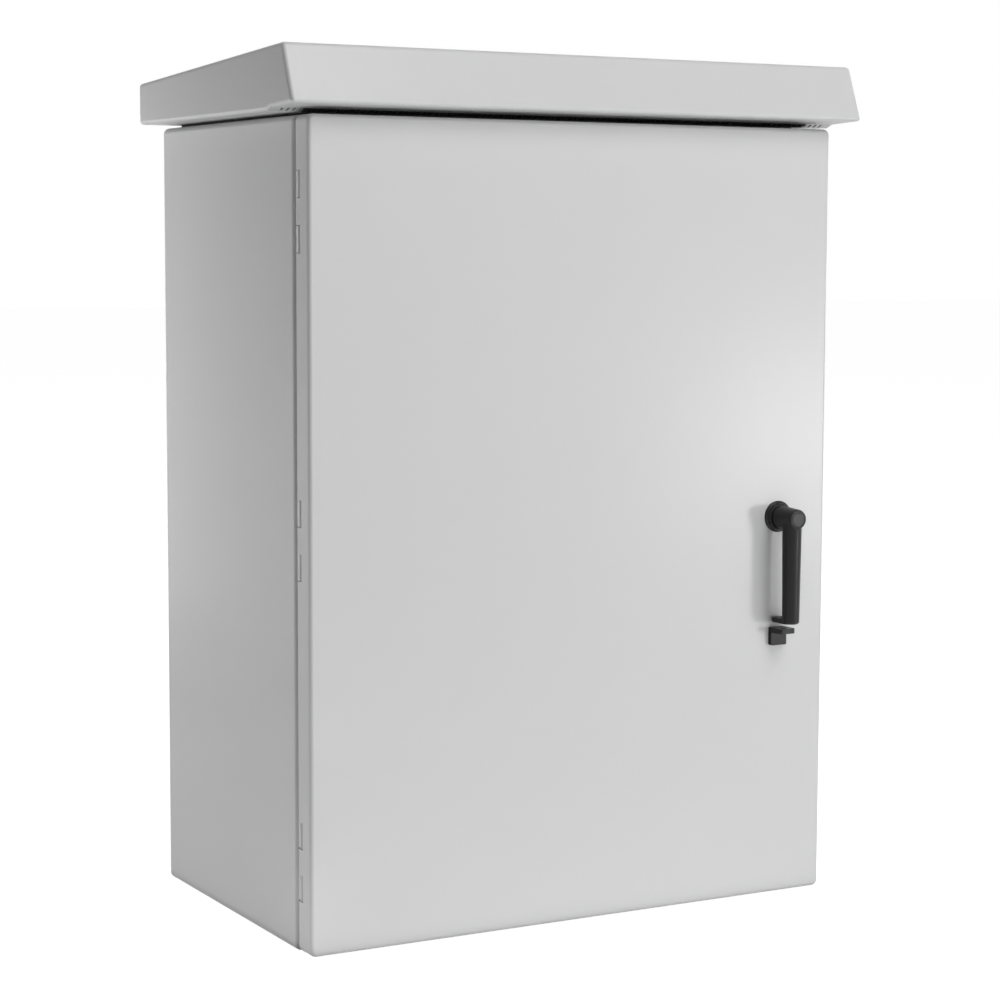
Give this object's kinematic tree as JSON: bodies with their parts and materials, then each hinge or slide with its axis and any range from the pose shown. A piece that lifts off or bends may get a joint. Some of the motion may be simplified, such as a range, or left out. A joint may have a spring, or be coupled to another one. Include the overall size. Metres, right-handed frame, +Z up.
{
  "type": "traffic signal controller cabinet",
  "caption": "Grey sheet-metal traffic signal controller cabinet with a sloped vented rain hood, a hinged door with a padlockable three-point latch handle, and shelves of control equipment.",
  "frame": {"origin": "centre of the cabinet body's flat bottom face", "axes": "+Z up; -Y out of the front, where the door is; +X to the right seen from the front, towards the handle side"},
  "size_m": [0.814, 0.511, 1.0938],
  "materials": {
    "painted_sheet": "light grey powder coat, fine orange peel",
    "black_handle": "satin black coating",
    "rubber_seal": "closed-cell foam",
    "zinc_steel": "zinc-plated steel",
    "plain_aluminium": "mill finish",
    "unit_paint": "grey textured paint",
    "dark_plastic": "moulded black",
    "pale_plastic": "moulded off-white",
    "display_glass": "backlit display window",
    "copper_bar": "bare copper bar",
    "filter_pad": "pleated filter medium"
  },
  "bodies": {
    "cabinet": {"cabinet_shell": "painted_sheet", "door_collar": "painted_sheet", "rain_hood": "painted_sheet", "hood_vent_plate": "painted_sheet", "hinge_body_knuckles": "painted_sheet", "hood_spacer": "rubber_seal", "hood_bolts": "zinc_steel", "hinge_pins": "zinc_steel", "panel_standoffs": "zinc_steel", "fan_guard": "zinc_steel", "controller_connectors": "zinc_steel", "equipment_rails": "plain_aluminium", "upper_shelf": "plain_aluminium", "lower_shelf": "plain_aluminium", "back_panel": "plain_aluminium", "power_panel": "plain_aluminium", "detector_rack": "plain_aluminium", "gland_plate": "plain_aluminium", "load_switches": "plain_aluminium", "controller_case": "unit_paint", "monitor_case": "unit_paint", "power_supply": "unit_paint", "flasher": "unit_paint", "controller_face": "dark_plastic", "monitor_face": "dark_plastic", "detector_cards": "dark_plastic", "load_bay": "dark_plastic", "field_terminals": "dark_plastic", "breaker_bodies": "dark_plastic", "surge_arrester": "dark_plastic", "fan_frame": "dark_plastic", "controller_keypad": "pale_plastic", "transfer_relays": "pale_plastic", "fan_control": "pale_plastic", "cabinet_light": "pale_plastic", "controller_display": "display_glass", "bus_bars": "copper_bar", "air_filter": "filter_pad"},
    "door": {"door_panel": "painted_sheet", "door_gasket": "rubber_seal", "door_stiffeners": "painted_sheet", "hinge_door_knuckles": "painted_sheet", "handle_rosette": "black_handle", "hasp_bracket": "black_handle", "rod_guides": "zinc_steel", "document_pocket": "painted_sheet"},
    "handle": {"handle": "black_handle", "handle_cap": "black_handle", "latch_cam": "zinc_steel"},
    "upper_rod": {"upper_rod": "zinc_steel"},
    "lower_rod": {"lower_rod": "zinc_steel"},
    "upper_roller": {"upper_roller": "pale_plastic"},
    "lower_roller": {"lower_roller": "pale_plastic"},
    "fan_impeller": {"fan_impeller": "dark_plastic"},
    "control_dial": {"control_dial": "dark_plastic"},
    "breaker_toggle_1": {"breaker_toggle_1": "pale_plastic"},
    "breaker_toggle_2": {"breaker_toggle_2": "pale_plastic"},
    "breaker_toggle_3": {"breaker_toggle_3": "pale_plastic"}
  },
  "joints": [
    {"name": "door_swing", "type": "hinge", "parent": "cabinet", "child": "door", "pos_m": [-0.37, -0.2215, 0.506], "axis": [0, 0, -1], "range_deg": [0, 110]},
    {"name": "handle_turn", "type": "hinge", "parent": "door", "child": "handle", "pos_m": [0.3, -0.252, 0.506], "axis": [0, 1, 0], "range_deg": [0, 90]},
    {"name": "upper_rod_slide", "type": "slide", "parent": "door", "child": "upper_rod", "axis": [0, 0, -1], "range_m": [0, 0.0312]},
    {"name": "lower_rod_slide", "type": "slide", "parent": "door", "child": "lower_rod", "axis": [0, 0, 1], "range_m": [0, 0.0312]},
    {"name": "upper_roller_spin", "type": "hinge", "parent": "upper_rod", "child": "upper_roller", "pos_m": [0.31878, -0.205, 0.9745], "axis": [1, 0, 0], "continuous": true},
    {"name": "lower_roller_spin", "type": "hinge", "parent": "lower_rod", "child": "lower_roller", "pos_m": [0.28122, -0.205, 0.0375], "axis": [1, 0, 0], "continuous": true},
    {"name": "fan_spin", "type": "hinge", "parent": "cabinet", "child": "fan_impeller", "pos_m": [0, 0.03, 0.985], "axis": [0, 0, 1], "continuous": true},
    {"name": "control_dial_turn", "type": "hinge", "parent": "cabinet", "child": "control_dial", "pos_m": [0.33, 0.01, 0.8463], "axis": [-1, 0, 0], "range_deg": [-135, 135]},
    {"name": "breaker_1_throw", "type": "hinge", "parent": "cabinet", "child": "breaker_toggle_1", "pos_m": [0.298, -0.093, 0.3481], "axis": [0, 1, 0], "range_deg": [-36, 0]},
    {"name": "breaker_2_throw", "type": "hinge", "parent": "cabinet", "child": "breaker_toggle_2", "pos_m": [0.298, -0.057, 0.3481], "axis": [0, 1, 0], "range_deg": [-36, 0]},
    {"name": "breaker_3_throw", "type": "hinge", "parent": "cabinet", "child": "breaker_toggle_3", "pos_m": [0.298, -0.021, 0.3481], "axis": [0, 1, 0], "range_deg": [-36, 0]}
  ],
  "couplings": [
    {"joint": "upper_rod_slide", "follows": "handle_turn", "m_per_rad": 0.019807},
    {"joint": "lower_rod_slide", "follows": "handle_turn", "m_per_rad": 0.019807}
  ]
}
